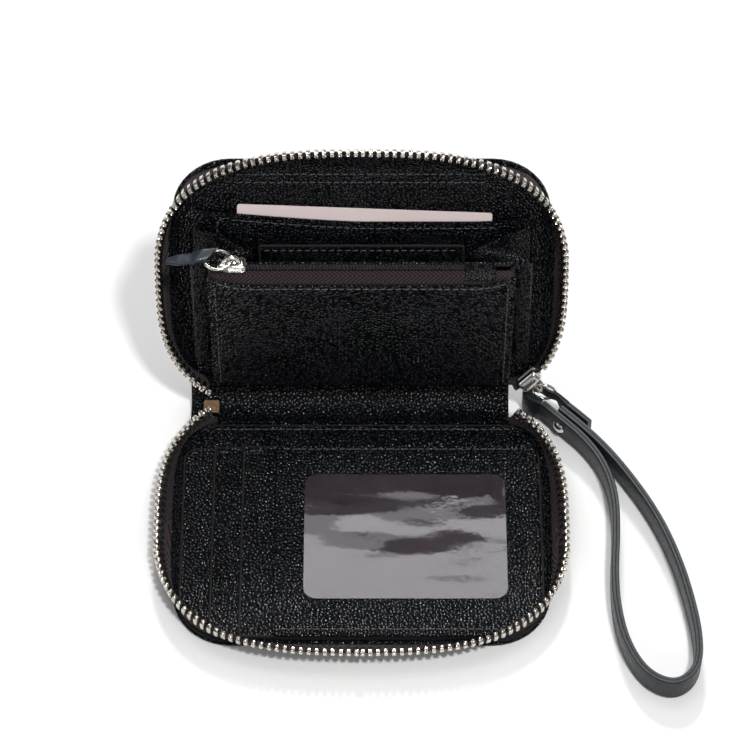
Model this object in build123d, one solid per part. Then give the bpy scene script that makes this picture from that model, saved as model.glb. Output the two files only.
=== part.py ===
from build123d import *
import math
import os

# Zip-around wristlet wallet, lying open like a laptop. Millimetres.
# Origin: on the front cover's underside, midway across, HINGE_Y in front of the fold axis.
# +X right, +Y towards the spine, +Z up.
# Each half is drawn flat in its own half frame: x across, v away from the fold axis,
# w up from the cover's outer face. The front half lies flat and the back half leans.

# ---- driving dimensions ----
COVER_WIDTH = 127.0
COVER_DEPTH = 91.0
HALF_HEIGHT = 11.0
LEAN_DEG = 69.0
HINGE_Y = 46.5
COVER_CORNER = 20.0
SPINE_HALF_WIDTH = 59.5

# layers of one half, as heights above the cover's outer face
LEATHER = 1.2
BOARD_TOP = 2.0
LINING_TOP = 2.5

# zip around the three open sides
ZIP_CENTRE_V = 47.0
ZIP_TOP_HALF_X = 68.5
ZIP_TOP_HALF_V = 50.8
ZIP_TOP_NEAR_V = 54.0
ZIP_TOP_POWERS = (2.8, 3.0)
ZIP_BASE_HALF_X = 62.0
ZIP_BASE_HALF_V = 43.0
ZIP_BASE_NEAR_V = 46.5
ZIP_BASE_POWERS = (6.0, 6.0)
ZIP_END_V = 3.0
TAPE_BASE = 2.05
TAPE_TOP = 8.4
TAPE_THICK = 0.9
TOOTH_PITCH = 2.62
TOOTH = (1.45, 2.4, 2.45)
TAPE_STATIONS = 48
PANEL_GAP = 0.5

# coin purse, in its own frame: x across, p up from the swing axis, q towards the front
PURSE_V = 3.5
PURSE_W = 6.1
SWING_DEG = 13.0
PURSE_HALF = 51.0
PURSE_HEIGHT = 62.0
PURSE_DEPTH = 9.6
WALL = 0.9
PURSE_TAPE_P = 60.5
COIL_Q = 3.3
COIL_HALF = 1.35
COIL_LEFT = -48.0
COIL_RIGHT = 34.3
SLIDER_X = -43.0

# bridges of both sliders
BRIDGE_BAR = 1.0
MAIN_BRIDGE_HALF = 2.5
MAIN_BRIDGE_RISE = 3.4
MAIN_BRIDGE_THICK = 1.2
MAIN_BRIDGE_TURN = 73.0

# main slider, parked at the start of the back half's row
MAIN_SLIDER_ANGLE = -39.0
MAIN_SLIDER_SIZE = (8.6, 5.0, 5.0)
MAIN_SLIDER_W = 5.8
BACK_TEETH_SKIPPED = 5

# strap ring and wrist strap
RING_CENTRE = (63.1, 50.4, 10.95)
RING_NORMAL = (0.12, 0.99, 0.03)
RING_RADIUS = 4.2
RING_WIRE = 0.55
STRAP_WIDTH = 10.0
STRAP_THICK = 2.5
STRAP_LIFT = 0.25
TAIL_THICK = 2.0
NECK_BASE = 8.5
NECK_HEIGHT = 2.4
NECK_THICK = 1.3

# slip pocket and the card that stands in it
SLIP_HALF = 57.0
SLIP_NEAR = 8.0
SLIP_FAR = 69.0
SLIP_LOW = 3.75
SLIP_HIGH = 4.45
CARD_HALF = (42.8, 27.0)
CARD_CENTRE_V = 46.2
CARD_LOW = 2.75
CARD_HIGH = 3.45
CARD_TILT = -2.4

# route of the wrist strap in plan, from the ring round the loop and back to the ring
STRAP_ROUTE = [
    (62.6, 46.6),
    (68.9, 40.3),
    (76.6, 32.4),
    (82.9, 22.2),
    (86.2, 9.5),
    (86.0, -6.0),
    (84.7, -20.5),
    (84.9, -35.0),
    (87.6, -49.0),
    (93.8, -60.2),
    (103.4, -64.2),
    (110.8, -57.4),
    (111.6, -45.0),
    (109.4, -30.0),
    (106.6, -17.5),
    (101.9, -3.0),
    (95.2, 10.8),
    (85.4, 26.4),
    (75.6, 37.9),
    (68.6, 44.6),
]
TAIL_ROUTE = [(69.2, 48.3), (74.0, 43.9), (78.6, 39.0)]
RIVET_AT = (68.9, 40.3)
RIVET_DIRECTION = (0.715, 0.699)
RIVET_CAP_RADIUS = 2.3
RIVET_POST_RADIUS = 1.1
RIVET_POST_MIDDLE = -2.9
RIVET_POST_LENGTH = 8.2


# ---- frames ----
def front(shape):
    """A shape drawn in the half frame, laid down as part of the front half."""
    return Pos(0, HINGE_Y, 0) * mirror(shape, about=Plane.XZ)


BACK_PLACE = Pos(0, HINGE_Y, HALF_HEIGHT) * Rot(LEAN_DEG, 0, 0) * Pos(0, 0, -HALF_HEIGHT)


def back(shape):
    """A shape drawn in the half frame, leaned back as part of the back half."""
    return BACK_PLACE * shape


def swung(shape, degrees=SWING_DEG):
    """A shape drawn in the purse frame, swung forward from the back half."""
    return back(Pos(0, PURSE_V, PURSE_W) * Rot(degrees, 0, 0) * shape)


# ---- outlines ----
def half_outline(inset, near_v):
    """Face of a cover-shaped layer, inset from the cover's edge, starting at near_v."""
    side = COVER_WIDTH / 2 - inset
    far = COVER_DEPTH - inset
    near = SPINE_HALF_WIDTH - inset
    corner = COVER_CORNER - inset
    points = [(-near, near_v), (-side, 26), (-side, far), (side, far), (side, 26), (near, near_v)]
    sides = FilletPolyline(*points, radius=[40, corner, corner, 40])
    return make_face([*sides.edges(), Line(points[-1], points[0])])


def layer(face, low, high):
    """A flat face made into a sheet between two heights."""
    return extrude(Pos(0, 0, low) * face, amount=high - low)


ZIP_TOP = (ZIP_TOP_HALF_X, ZIP_TOP_HALF_V, ZIP_TOP_NEAR_V, ZIP_TOP_POWERS)
ZIP_BASE = (ZIP_BASE_HALF_X, ZIP_BASE_HALF_V, ZIP_BASE_NEAR_V, ZIP_BASE_POWERS)


def zip_point(outline, angle):
    """Point of a zip outline at an angle from the centre of the half."""
    half_x, far_v, near_v, (far_power, near_power) = outline
    c = math.cos(angle)
    s = math.sin(angle)
    half_v = far_v if s > 0 else near_v
    power = far_power if s > 0 else near_power
    x = half_x * math.copysign(abs(c) ** (2 / power), c)
    v = ZIP_CENTRE_V + half_v * math.copysign(abs(s) ** (2 / power), s)
    return x, v


def zip_row(outline, count):
    """Points along a zip outline, from the right end at the fold round to the left end."""
    power = outline[3][1]
    end = math.asin(((ZIP_CENTRE_V - ZIP_END_V) / outline[2]) ** (power / 2))
    sweep_angle = math.pi + 2 * end
    angles = [-end + sweep_angle * i / (count - 1) for i in range(count)]
    return [zip_point(outline, a) for a in angles]


def normals(points):
    """Outward unit normal at each point of a zip outline."""
    result = []
    last = len(points) - 1
    for i in range(len(points)):
        x0, v0 = points[max(i - 1, 0)]
        x1, v1 = points[min(i + 1, last)]
        length = math.hypot(x1 - x0, v1 - v0)
        result.append(((v1 - v0) / length, -(x1 - x0) / length))
    return result


def band(points, thick, w):
    """Narrow face that follows a zip outline at height w."""
    pairs = list(zip(points, normals(points)))
    outer = [(x + a * thick / 2, v + b * thick / 2, w) for (x, v), (a, b) in pairs]
    inner = [(x - a * thick / 2, v - b * thick / 2, w) for (x, v), (a, b) in pairs]
    edges = [
        Spline(*outer),
        Line(outer[-1], inner[-1]),
        Spline(*inner[::-1]),
        Line(inner[0], outer[0]),
    ]
    return make_face(edges)


# ---- zip ----
def zip_tape():
    """Fabric tape wall, splayed from the cover's edge out to the teeth."""
    base = zip_row(ZIP_BASE, TAPE_STATIONS)
    top = zip_row(ZIP_TOP, TAPE_STATIONS)
    return loft([band(base, TAPE_THICK, TAPE_BASE), band(top, TAPE_THICK, TAPE_TOP)], ruled=True)


def room_in_tape(w):
    """Prism of the room inside the tape wall, as it is at height w."""
    share = max(w - TAPE_BASE, 0) / (TAPE_TOP - TAPE_BASE)
    gap = TAPE_THICK / 2 + PANEL_GAP
    rows = zip(zip_row(ZIP_BASE, TAPE_STATIONS), zip_row(ZIP_TOP, TAPE_STATIONS))
    points = [(a + share * (c - a), b + share * (d - b)) for (a, b), (c, d) in rows]
    inner = [(x - a * gap, v - b * gap) for (x, v), (a, b) in zip(points, normals(points))]
    return extrude(make_face([Spline(*inner), Line(inner[-1], inner[0])]), amount=HALF_HEIGHT)


def trimmed(shape, low, high):
    """A panel between two heights, cut back to clear the tape wall."""
    return shape & room_in_tape(low) & room_in_tape(high)


def tooth_places():
    """Centre and direction of each metal tooth, one pitch apart along the row."""
    fine = zip_row(ZIP_TOP, 4000)
    places = []
    travelled = 0.0
    wanted = TOOTH_PITCH / 2
    for (x0, v0), (x1, v1) in zip(fine, fine[1:]):
        step = math.hypot(x1 - x0, v1 - v0)
        if travelled + step >= wanted:
            places.append((x1, v1, math.degrees(math.atan2(v1 - v0, x1 - x0))))
            wanted += TOOTH_PITCH
        travelled += step
    return places


def zip_teeth(skip=0):
    """Row of separate metal teeth; skip leaves out the first ones, under the slider."""
    height = TAPE_TOP + 0.05 + TOOTH[2] / 2
    block = Box(*TOOTH)
    teeth = [Pos(x, v, height) * Rot(0, 0, turn) * block for x, v, turn in tooth_places()]
    return Compound(children=teeth[skip:])


def slider_place():
    """Place of the main slider on the back half's row: centre and direction."""
    x, v = zip_point(ZIP_TOP, math.radians(MAIN_SLIDER_ANGLE))
    x2, v2 = zip_point(ZIP_TOP, math.radians(MAIN_SLIDER_ANGLE + 1))
    return x, v, math.degrees(math.atan2(v2 - v, x2 - x))


def main_slider_frame():
    """Place of the slider: x along the row, -y out of the wallet."""
    x, v, turn = slider_place()
    centre = Pos(x, v, MAIN_SLIDER_W + MAIN_SLIDER_SIZE[2] / 2)
    return BACK_PLACE * centre * Rot(0, 0, turn)


def main_slider_bridge():
    """Thin arch on the slider's outer face, which holds the strap ring."""
    feet = Pos(0, -MAIN_SLIDER_SIZE[1] / 2 - 0.02, 0)
    return main_slider_frame() * feet * Rot(0, MAIN_BRIDGE_TURN, 0) * Rot(180, 0, 0) * bridge(
        MAIN_BRIDGE_HALF, MAIN_BRIDGE_RISE, MAIN_BRIDGE_THICK
    )


def main_slider_body():
    """Slider that straddles the tape, with a slot for the tape underneath."""
    long, wide, tall = MAIN_SLIDER_SIZE
    body = Box(long, wide, tall)
    body = fillet(body.edges().filter_by(Axis.Z), 1.6)
    slot = Pos(0, 0, -1.1) * Box(long + 2, 2.2, tall)
    return main_slider_frame() * (body - slot)


# ---- front half ----
def card_panel(left, right, near, far, low, high, radius=1.5):
    """Flat pocket panel with small rounded corners."""
    width = right - left
    depth = far - near
    face = Pos((left + right) / 2, (near + far) / 2) * RectangleRounded(width, depth, radius)
    return layer(face, low, high)


def rounded_panel(half, near, far, low, high, radius):
    """Full-width panel whose two far corners follow the wallet's corners."""
    points = [(-half, near), (-half, far), (half, far), (half, near)]
    line = FilletPolyline(*points, radius=[radius, radius])
    return layer(make_face([*line.edges(), Line(points[-1], points[0])]), low, high)


ID_LEFT = -29.5
ID_RIGHT = 60.0
WINDOW_LEFT = -19.5
WINDOW_RIGHT = 49.0
WINDOW_NEAR = 26.5
WINDOW_FAR = 76.0
SLOTS_NEAR = 14.6
SLOTS_FAR = 90.4
PANEL = 0.6
BILL_LOW = 2.55
BACKING_LOW = 3.2
SLOT_LOWS = (3.85, 4.5)
SLOT_LEFTS = (-51.0, -41.0)
FRAME_LOW = 5.5
FRAME_HIGH = 6.2


def id_frame():
    """Leather frame of the identity pocket with its rounded window opening."""
    points = [(ID_LEFT, SLOTS_NEAR), (ID_LEFT, SLOTS_FAR), (ID_RIGHT, SLOTS_FAR), (ID_RIGHT, SLOTS_NEAR)]
    line = FilletPolyline(*points, radius=[2, 13])
    face = make_face([*line.edges(), Line(points[-1], points[0])])
    centre = Pos((WINDOW_LEFT + WINDOW_RIGHT) / 2, (WINDOW_NEAR + WINDOW_FAR) / 2)
    window = centre * RectangleRounded(WINDOW_RIGHT - WINDOW_LEFT, WINDOW_FAR - WINDOW_NEAR, 4.5)
    return layer(face - window, FRAME_LOW, FRAME_HIGH)


def slot_panel(left, low):
    """Card slot panel, open along its left edge."""
    points = [(left, SLOTS_NEAR), (left, SLOTS_FAR), (ID_RIGHT, SLOTS_FAR), (ID_RIGHT, SLOTS_NEAR)]
    line = FilletPolyline(*points, radius=[8 if left < -45 else 2, 13])
    return layer(make_face([*line.edges(), Line(points[-1], points[0])]), low, low + PANEL)


# ---- spine ----
def spine_sector(radius, thick, left, right, from_deg, to_deg):
    """Bent sheet round the fold axis, between two angles from straight down."""
    start = math.radians(from_deg - 90)
    stop = math.radians(to_deg - 90)
    middle = (start + stop) / 2

    def at(r, a):
        return r * math.cos(a), r * math.sin(a)

    inner = radius - thick
    edges = [
        ThreePointArc(at(radius, start), at(radius, middle), at(radius, stop)),
        Line(at(radius, stop), at(inner, stop)),
        ThreePointArc(at(inner, stop), at(inner, middle), at(inner, start)),
        Line(at(inner, start), at(radius, start)),
    ]
    section = Plane.YZ * make_face(edges)
    sheet = extrude(section, amount=right - left)
    return Pos(left, HINGE_Y, HALF_HEIGHT) * sheet


# ---- coin purse ----
def pq_prism(points, left, right):
    """Prism along x whose section is given in the purse's p and q."""
    return Pos(left, 0, 0) * extrude(Plane.YZ * make_face(Polyline(*points, close=True)), amount=right - left)


def front_wall_q(p):
    """Rear face of the purse's front wall at height p."""
    return WALL + 0.5 + (PURSE_DEPTH - 2 * WALL - 0.5) * p / PURSE_HEIGHT


def purse_front():
    """Front wall of the purse."""
    low = 2.6
    high = PURSE_TAPE_P - 0.1
    points = [
        (low, front_wall_q(low)),
        (high, front_wall_q(high)),
        (high, front_wall_q(high) + WALL),
        (low, front_wall_q(low) + WALL),
    ]
    return pq_prism(points, -PURSE_HALF, PURSE_HALF)


def purse_side(side):
    """Leather side that closes the wedge between the purse's walls."""
    low = 6.0
    high = PURSE_TAPE_P - 0.1
    points = [
        (low, WALL + 0.45),
        (high, WALL + 0.45),
        (high, front_wall_q(high) - 0.05),
        (low, front_wall_q(low) - 0.05),
    ]
    inner = side * (PURSE_HALF - 0.8)
    outer = side * PURSE_HALF
    return pq_prism(points, min(inner, outer), max(inner, outer))


def purse_strip(q_low, q_high, left, right, low, high):
    """Straight strip along the top of the purse."""
    return Pos((left + right) / 2, (low + high) / 2, (q_low + q_high) / 2) * Box(
        right - left, high - low, q_high - q_low
    )


def coin_slider_body():
    """Channel-shaped slider that runs over the coil."""
    low = PURSE_TAPE_P + 0.75
    high = low + 2.5
    body = Pos(0, (low + high) / 2, COIL_Q) * Box(9.4, high - low, 5.6)
    body = fillet(body.edges().filter_by(Axis.Y), 1.5)
    channel = Pos(0, low + 0.75, COIL_Q) * Box(12, 1.5, 2 * COIL_HALF + 0.4)
    return Pos(SLIDER_X, 0, 0) * (body - channel)


def bridge(half, rise, thick):
    """Low arch that holds a pull ring; it stands on the plane of its feet."""
    outer = [(-half, 0), (-half, rise), (half, rise), (half, 0)]
    path = FilletPolyline(*outer, radius=[1.4, 1.4])
    face = make_face([*path.edges(), Line(outer[-1], outer[0])])
    hole = Pos(0, (rise - BRIDGE_BAR) / 2) * Rectangle(2 * (half - BRIDGE_BAR), rise - BRIDGE_BAR)
    return Pos(0, 0, -thick / 2) * extrude(face - hole, amount=thick)


COIN_RING_RADIUS = 4.4
COIN_RING_WIRE = 0.5
BRIDGE_P = PURSE_TAPE_P + 3.28
COIN_RING_P = BRIDGE_P + 1.1
TAB_LENGTH = 9.6
TAB_WIDTH = 4.6


def coin_bridge():
    """Arch on top of the coin slider."""
    return Pos(SLIDER_X, BRIDGE_P, COIL_Q) * bridge(3.4, 2.9, 1.3)


def coin_ring():
    """Round wire ring through the bridge, lying out to the left."""
    ring = Rot(90, 0, 0) * Torus(COIN_RING_RADIUS, COIN_RING_WIRE)
    return Pos(SLIDER_X - COIN_RING_RADIUS, COIN_RING_P, COIL_Q) * ring


def ring_room():
    """Room for the ring's wire in the tab's eye."""
    ring = Rot(90, 0, 0) * Torus(COIN_RING_RADIUS, COIN_RING_WIRE + 0.3)
    return Pos(COIN_RING_RADIUS, 0, 0) * ring


def coin_tab():
    """Folded leather pull tab with an eye round the far side of the ring."""
    far = SLIDER_X - 2 * COIN_RING_RADIUS
    eye = Cylinder(1.5, TAB_WIDTH) - ring_room()
    tongue = Pos(-TAB_LENGTH / 2 - 1.0, 0, 0) * Box(TAB_LENGTH, 2.0, TAB_WIDTH)
    tab = eye + (tongue - Cylinder(1.4, 2 * TAB_WIDTH))
    return Pos(far, COIN_RING_P, COIL_Q) * tab


# ---- bellows ----
def gusset(side):
    """V-folded leather side of the bellows, flat at its foot and open at its top."""
    thick = 0.6

    def section(v, outer, tip, w_back, w_front):
        middle = (w_back + w_front) / 2
        points = [
            (side * outer, w_back),
            (side * tip, middle - thick / 2),
            (side * outer, w_front - thick),
            (side * outer, w_front),
            (side * (tip - 1.5), middle),
            (side * outer, w_back - thick),
        ]
        plane = Plane(origin=(0, v, 0), x_dir=(1, 0, 0), z_dir=(0, -1, 0))
        return plane * make_face(Polyline(*points, close=True))

    foot = section(13.0, 57.5, 54.5, 5.7, 8.0)
    top = section(62.5, 57.5, 36.0, 5.7, 18.9)
    return loft([foot, top], ruled=True)


# ---- strap ----
def arc_radii(points):
    """Largest tangent arc at each corner that its two runs leave room for."""
    radii = []
    for before, here, after in zip(points, points[1:], points[2:]):
        a = Vector(*here) - Vector(*before)
        b = Vector(*after) - Vector(*here)
        turn = math.radians(a.get_angle(b))
        radii.append(0.45 * min(a.length, b.length) / math.tan(turn / 2))
    return radii


def standing_band(points, thick, base, height):
    """Flat strap on its edge that follows a route in plan."""
    radii = arc_radii(points)
    print("strap arcs:", [round(r, 1) for r in radii])
    path = FilletPolyline(*[(x, y, base + height / 2) for x, y in points], radius=radii)
    start = Plane(origin=path @ 0, x_dir=(0, 0, 1), z_dir=path % 0)
    solid = sweep(start * Rectangle(height, thick), path=path)
    print("strap length", round(path.length, 1), "volume", round(solid.volume, 1),
          "expected", round(path.length * height * thick, 1))
    return solid


def rivet_frame():
    """Plane at the rivet, facing out of the front of the strap."""
    x, y = RIVET_AT
    dx, dy = RIVET_DIRECTION
    return Plane(origin=(x, y, STRAP_LIFT + STRAP_WIDTH / 2), x_dir=(0, 0, 1), z_dir=(-dx, -dy, 0))


def rivet_hole():
    """Hole for the rivet's post, right through the strap and its tail."""
    return rivet_frame() * Cylinder(RIVET_POST_RADIUS + 0.05, 30)


def wrist_strap():
    """The loop of the strap, from the ring round and back to it."""
    return standing_band(STRAP_ROUTE, STRAP_THICK, STRAP_LIFT, STRAP_WIDTH) - rivet_hole()


def strap_tail():
    """Short end of the strap, turned back behind it and riveted."""
    return standing_band(TAIL_ROUTE, TAIL_THICK, STRAP_LIFT + 0.4, STRAP_WIDTH - 0.8) - rivet_hole()


def strap_neck():
    """Narrow fold of the strap round the ring's wire, between the strap and its tail."""
    points = [(62.3, 46.9), (56.6, 49.4), (57.0, 53.2), (60.9, 53.5), (65.4, 48.5), (68.4, 48.4)]
    middle = NECK_BASE + NECK_HEIGHT / 2
    path = FilletPolyline(*[(x, y, middle) for x, y in points], radius=[1.2, 1.1, 1.1, 1.6])
    start = Plane(origin=path @ 0, x_dir=(0, 0, 1), z_dir=path % 0)
    return sweep(start * Rectangle(NECK_HEIGHT, NECK_THICK), path=path)


def strap_ring():
    """Ring of round wire that joins the strap to the main slider."""
    return Plane(origin=RING_CENTRE, z_dir=RING_NORMAL) * Torus(RING_RADIUS, RING_WIRE)


def rivet_cap(distance, rise):
    """Domed cap of the rivet; distance is measured out from the strap's centre line."""
    ball = (RIVET_CAP_RADIUS ** 2 + rise ** 2) / (2 * rise)
    dome = Pos(0, 0, rise - ball) * Sphere(ball)
    keep = Pos(0, 0, rise) * Cylinder(RIVET_CAP_RADIUS + 1, 2 * rise)
    return rivet_frame() * (Pos(0, 0, distance) * (dome & keep))


# ---- nodes ----
def shared_layers(parts):
    """Cover, board, lining and zip, which both halves have alike."""
    for name, place in (("front", front), ("back", back)):
        parts[f"{name}_cover"] = place(layer(half_outline(0, 0.15), 0, LEATHER))
        parts[f"{name}_board"] = place(layer(half_outline(2.6, 0.6), LEATHER + 0.02, BOARD_TOP))
        lining = layer(half_outline(3.2, 4.6), BOARD_TOP + 0.02, LINING_TOP)
        parts[f"{name}_lining"] = place(trimmed(lining, BOARD_TOP, LINING_TOP))
        parts[f"{name}_zip_tape"] = place(zip_tape())
        parts[f"{name}_zip_teeth"] = place(zip_teeth(BACK_TEETH_SKIPPED if name == "back" else 0))


def front_pockets(parts):
    """Bill pocket, card slots and identity pocket of the front half."""
    bill = rounded_panel(62.5, 4.4, 91.0, BILL_LOW, BILL_LOW + PANEL, 14)
    backing = rounded_panel(62.0, SLOTS_NEAR, 90.8, BACKING_LOW, BACKING_LOW + PANEL, 14)
    parts["bill_pocket_panel"] = front(trimmed(bill, BILL_LOW, BILL_LOW + PANEL))
    parts["slot_backing_panel"] = front(trimmed(backing, BACKING_LOW, BACKING_LOW + PANEL))
    for i, (left, low) in enumerate(zip(SLOT_LEFTS, SLOT_LOWS), start=1):
        parts[f"card_slot_{i}"] = front(trimmed(slot_panel(left, low), low, low + PANEL))
    parts["id_pocket_frame"] = front(trimmed(id_frame(), FRAME_LOW, FRAME_HIGH))
    for name, rim, low, high in (
        ("id_window", 2.5, 5.35, 5.47),
        ("id_pocket_backing", 3.5, 5.12, 5.3),
    ):
        sides = (WINDOW_LEFT - rim, WINDOW_RIGHT + rim, WINDOW_NEAR - rim, WINDOW_FAR + rim)
        parts[name] = front(card_panel(*sides, low, high, 5))


def spine(parts):
    """Outer and inner leather of the spine, and the tab over the zip's left end."""
    parts["spine_cover"] = spine_sector(
        HALF_HEIGHT, LEATHER, -SPINE_HALF_WIDTH, 51.0, 0.9, LEAN_DEG - 0.9
    )
    parts["spine_lining"] = spine_sector(8.5, 0.55, -50.0, 50.8, -18, LEAN_DEG + 6)
    parts["zip_end_patch"] = Pos(-53.2, HINGE_Y + 0.6, 6.0) * Box(3.8, 4.2, 0.8)


def back_pockets(parts):
    """Slip pocket, its card and the bellows of the back half."""
    slip = rounded_panel(SLIP_HALF, SLIP_NEAR, SLIP_FAR, SLIP_LOW, SLIP_HIGH, 3)
    parts["slip_pocket_panel"] = back(trimmed(slip, SLIP_LOW, SLIP_HIGH))
    half_x, half_v = CARD_HALF
    card = card_panel(-half_x, half_x, -half_v, half_v, CARD_LOW, CARD_HIGH, 3.2)
    parts["spare_card"] = back(Pos(0, CARD_CENTRE_V, 0) * Rot(0, 0, CARD_TILT) * card)
    parts["gusset_left"] = back(gusset(-1))
    parts["gusset_right"] = back(gusset(1))
    divider = pq_prism([(3, -0.35), (62, -0.35), (62, 0.35), (3, 0.35)], -33.4, 33.4)
    parts["purse_divider"] = swung(divider, SWING_DEG / 2)


def coin_purse(parts):
    """Walls, sides, zip and slider of the coin purse."""
    low = 2.6
    high = PURSE_TAPE_P + 0.6
    rear = [(low, 0.4), (high, 0.4), (high, 0.4 + WALL), (low, 0.4 + WALL)]
    parts["purse_back_panel"] = swung(pq_prism(rear, -PURSE_HALF, PURSE_HALF))
    parts["purse_front_panel"] = swung(purse_front())
    parts["purse_side_left"] = swung(purse_side(-1))
    parts["purse_side_right"] = swung(purse_side(1))
    tape_low = PURSE_TAPE_P
    tape_high = PURSE_TAPE_P + 0.6
    coil_top = tape_high + 0.75
    back_edge = 0.45 + WALL
    front_edge = PURSE_DEPTH - 0.1
    for name, q_low, q_high, high in (
        ("purse_tape_back", back_edge, COIL_Q - COIL_HALF - 0.05, tape_high),
        ("purse_tape_front", COIL_Q + COIL_HALF + 0.05, front_edge, tape_high),
    ):
        parts[name] = swung(purse_strip(q_low, q_high, -PURSE_HALF + 1, 49.8, tape_low, high))
    for name, q_low, q_high in (
        ("purse_coil_back", COIL_Q - COIL_HALF, COIL_Q - 0.03),
        ("purse_coil_front", COIL_Q + 0.03, COIL_Q + COIL_HALF),
    ):
        parts[name] = swung(purse_strip(q_low, q_high, COIL_LEFT, COIL_RIGHT, tape_low, coil_top))
    patch = purse_strip(back_edge + 0.2, front_edge - 0.2, 34.5, 44.5, tape_high + 0.03, tape_high + 0.9)
    parts["purse_end_patch"] = swung(patch)
    parts["coin_slider_body"] = swung(coin_slider_body())
    parts["coin_slider_bridge"] = swung(coin_bridge())
    parts["coin_pull_ring"] = swung(coin_ring())
    parts["coin_pull_tab"] = swung(coin_tab())


def strap_parts(parts):
    """Main slider, its ring and the wrist strap."""
    parts["main_slider_body"] = main_slider_body()
    parts["main_slider_bridge"] = main_slider_bridge()
    parts["strap_ring"] = strap_ring()
    parts["wrist_strap"] = wrist_strap()
    parts["strap_tail"] = strap_tail()
    parts["strap_neck"] = strap_neck()
    front_face = STRAP_THICK / 2 + 0.02
    parts["rivet_cap"] = rivet_cap(front_face, 1.1)
    post = Cylinder(RIVET_POST_RADIUS, RIVET_POST_LENGTH)
    parts["rivet_post"] = rivet_frame() * (Pos(0, 0, RIVET_POST_MIDDLE) * post)


def all_parts():
    """Every node by name, in its place in the assembly."""
    parts = {}
    shared_layers(parts)
    front_pockets(parts)
    spine(parts)
    back_pockets(parts)
    coin_purse(parts)
    strap_parts(parts)
    return parts


os.makedirs("parts", exist_ok=True)
for node, solid in all_parts().items():
    export_step(solid, f"parts/{node}.step")
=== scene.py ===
"""Zip-around wristlet wallet, open like a laptop, on a pale studio floor."""
import math
import random

import bmesh
import bpy
from mathutils import Matrix, Vector


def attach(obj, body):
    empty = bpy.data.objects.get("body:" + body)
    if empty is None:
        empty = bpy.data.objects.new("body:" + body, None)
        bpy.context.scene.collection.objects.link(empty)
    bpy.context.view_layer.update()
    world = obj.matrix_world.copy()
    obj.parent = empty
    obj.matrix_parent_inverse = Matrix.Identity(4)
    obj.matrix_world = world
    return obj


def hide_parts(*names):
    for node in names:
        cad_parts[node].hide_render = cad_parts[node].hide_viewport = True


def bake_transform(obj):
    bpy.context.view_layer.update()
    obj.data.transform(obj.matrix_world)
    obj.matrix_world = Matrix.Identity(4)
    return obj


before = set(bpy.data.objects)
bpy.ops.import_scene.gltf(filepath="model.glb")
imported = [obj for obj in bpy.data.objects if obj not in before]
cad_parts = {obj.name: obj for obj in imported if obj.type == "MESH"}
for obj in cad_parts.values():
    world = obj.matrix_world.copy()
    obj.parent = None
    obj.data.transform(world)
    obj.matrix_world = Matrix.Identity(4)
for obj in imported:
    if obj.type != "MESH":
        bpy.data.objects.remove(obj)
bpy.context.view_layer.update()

MM = 0.001

# shared dimensions of the wallet, in millimetres
HINGE_Y = 46.5
MID = 11.0
LEAN = math.radians(69)
HALF_X = 63.5
DEPTH = 91.0
CORNER = 20.0
SPINE_HALF = 59.5
ZIP_CENTRE = 47.0
ZIP_TOP = (68.5, 50.8, 54.0, 2.8, 3.0)
ZIP_BASE = (62.0, 43.0, 46.5, 6.0, 6.0)
ZIP_END_V = 3.0
TAPE_BASE = 2.05
TAPE_TOP = 8.4
TOOTH_PITCH = 2.62
PURSE_V = 3.5
PURSE_W = 6.1
PURSE_SWING = math.radians(13)
DIVIDER_SWING = math.radians(6.5)
PURSE_HALF = 51.0
PURSE_DEPTH = 9.6
PURSE_HEIGHT = 62.0
PURSE_TOP = 60.5
TAPE_LEFT = -50.0
TAPE_RIGHT = 49.8
WALL = 0.9
COIL_Q = 3.3
COIL_LEFT = -48.0
COIL_LENGTH = 82.3
SLIDER_X = -43.0
PULL_RING_RADIUS = 4.4
RING_P = PURSE_TOP + 4.38
SLOTS_NEAR = 14.6
SLOTS_FAR = 90.4
IDENTITY_LEFT = -29.5
SLOTS_RIGHT = 60.0
WINDOW = (-19.5, 49.0, 26.5, 76.0)
SLIP_HALF = 57.0
SLIP_NEAR = 8.0
SLIP_LOW = 3.75
CARD_HALF = (42.8, 27)
CARD_CENTRE_V = 46.2
CARD_TILT = math.radians(-2.4)
MAIN_SLIDER_ANGLE = math.radians(-39)
MAIN_SLIDER_W = 5.8
STRAP_RING_CENTRE = (63.1, 50.4, 10.95)
STRAP_LIFT = 0.25
STRAP_WIDTH = 10.0
STRAP_THICK = 2.5
RIVET_AT = (68.9, 40.3)
RIVET_DIRECTION = (-0.715, -0.699, 0)


# ---- places ----
def front_at(x, v, w):
    """Point of the front half: x across, v out from the spine, w up from the cover."""
    return Vector((x, HINGE_Y - v, w)) * MM


def back_at(x, v, w):
    """The same point of the back half, which leans back."""
    c = math.cos(LEAN)
    s = math.sin(LEAN)
    return Vector((x, HINGE_Y + v * c - (w - MID) * s, MID + v * s + (w - MID) * c)) * MM


def swung_at(x, p, q, swing):
    """Point of a leaf that swings forward from the foot of the back half."""
    c = math.cos(swing)
    s = math.sin(swing)
    return back_at(x, PURSE_V + p * c - q * s, PURSE_W + p * s + q * c)


def purse_at(x, p, q):
    """Point of the coin purse: p up its back wall, q forward from it."""
    return swung_at(x, p, q, PURSE_SWING)


def divider_at(x, p, q):
    """Point of the divider, which leans half as far forward."""
    return swung_at(x, p, q, DIVIDER_SWING)


def table_at(x, y, z):
    """Point of the wallet's own frame, in millimetres."""
    return Vector((x, y, z)) * MM


def facing(at):
    """Direction in which the third coordinate of a place grows."""
    return at(0, 0, 1) - at(0, 0, 0)


HALVES = (("front", front_at), ("back", back_at))


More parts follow.
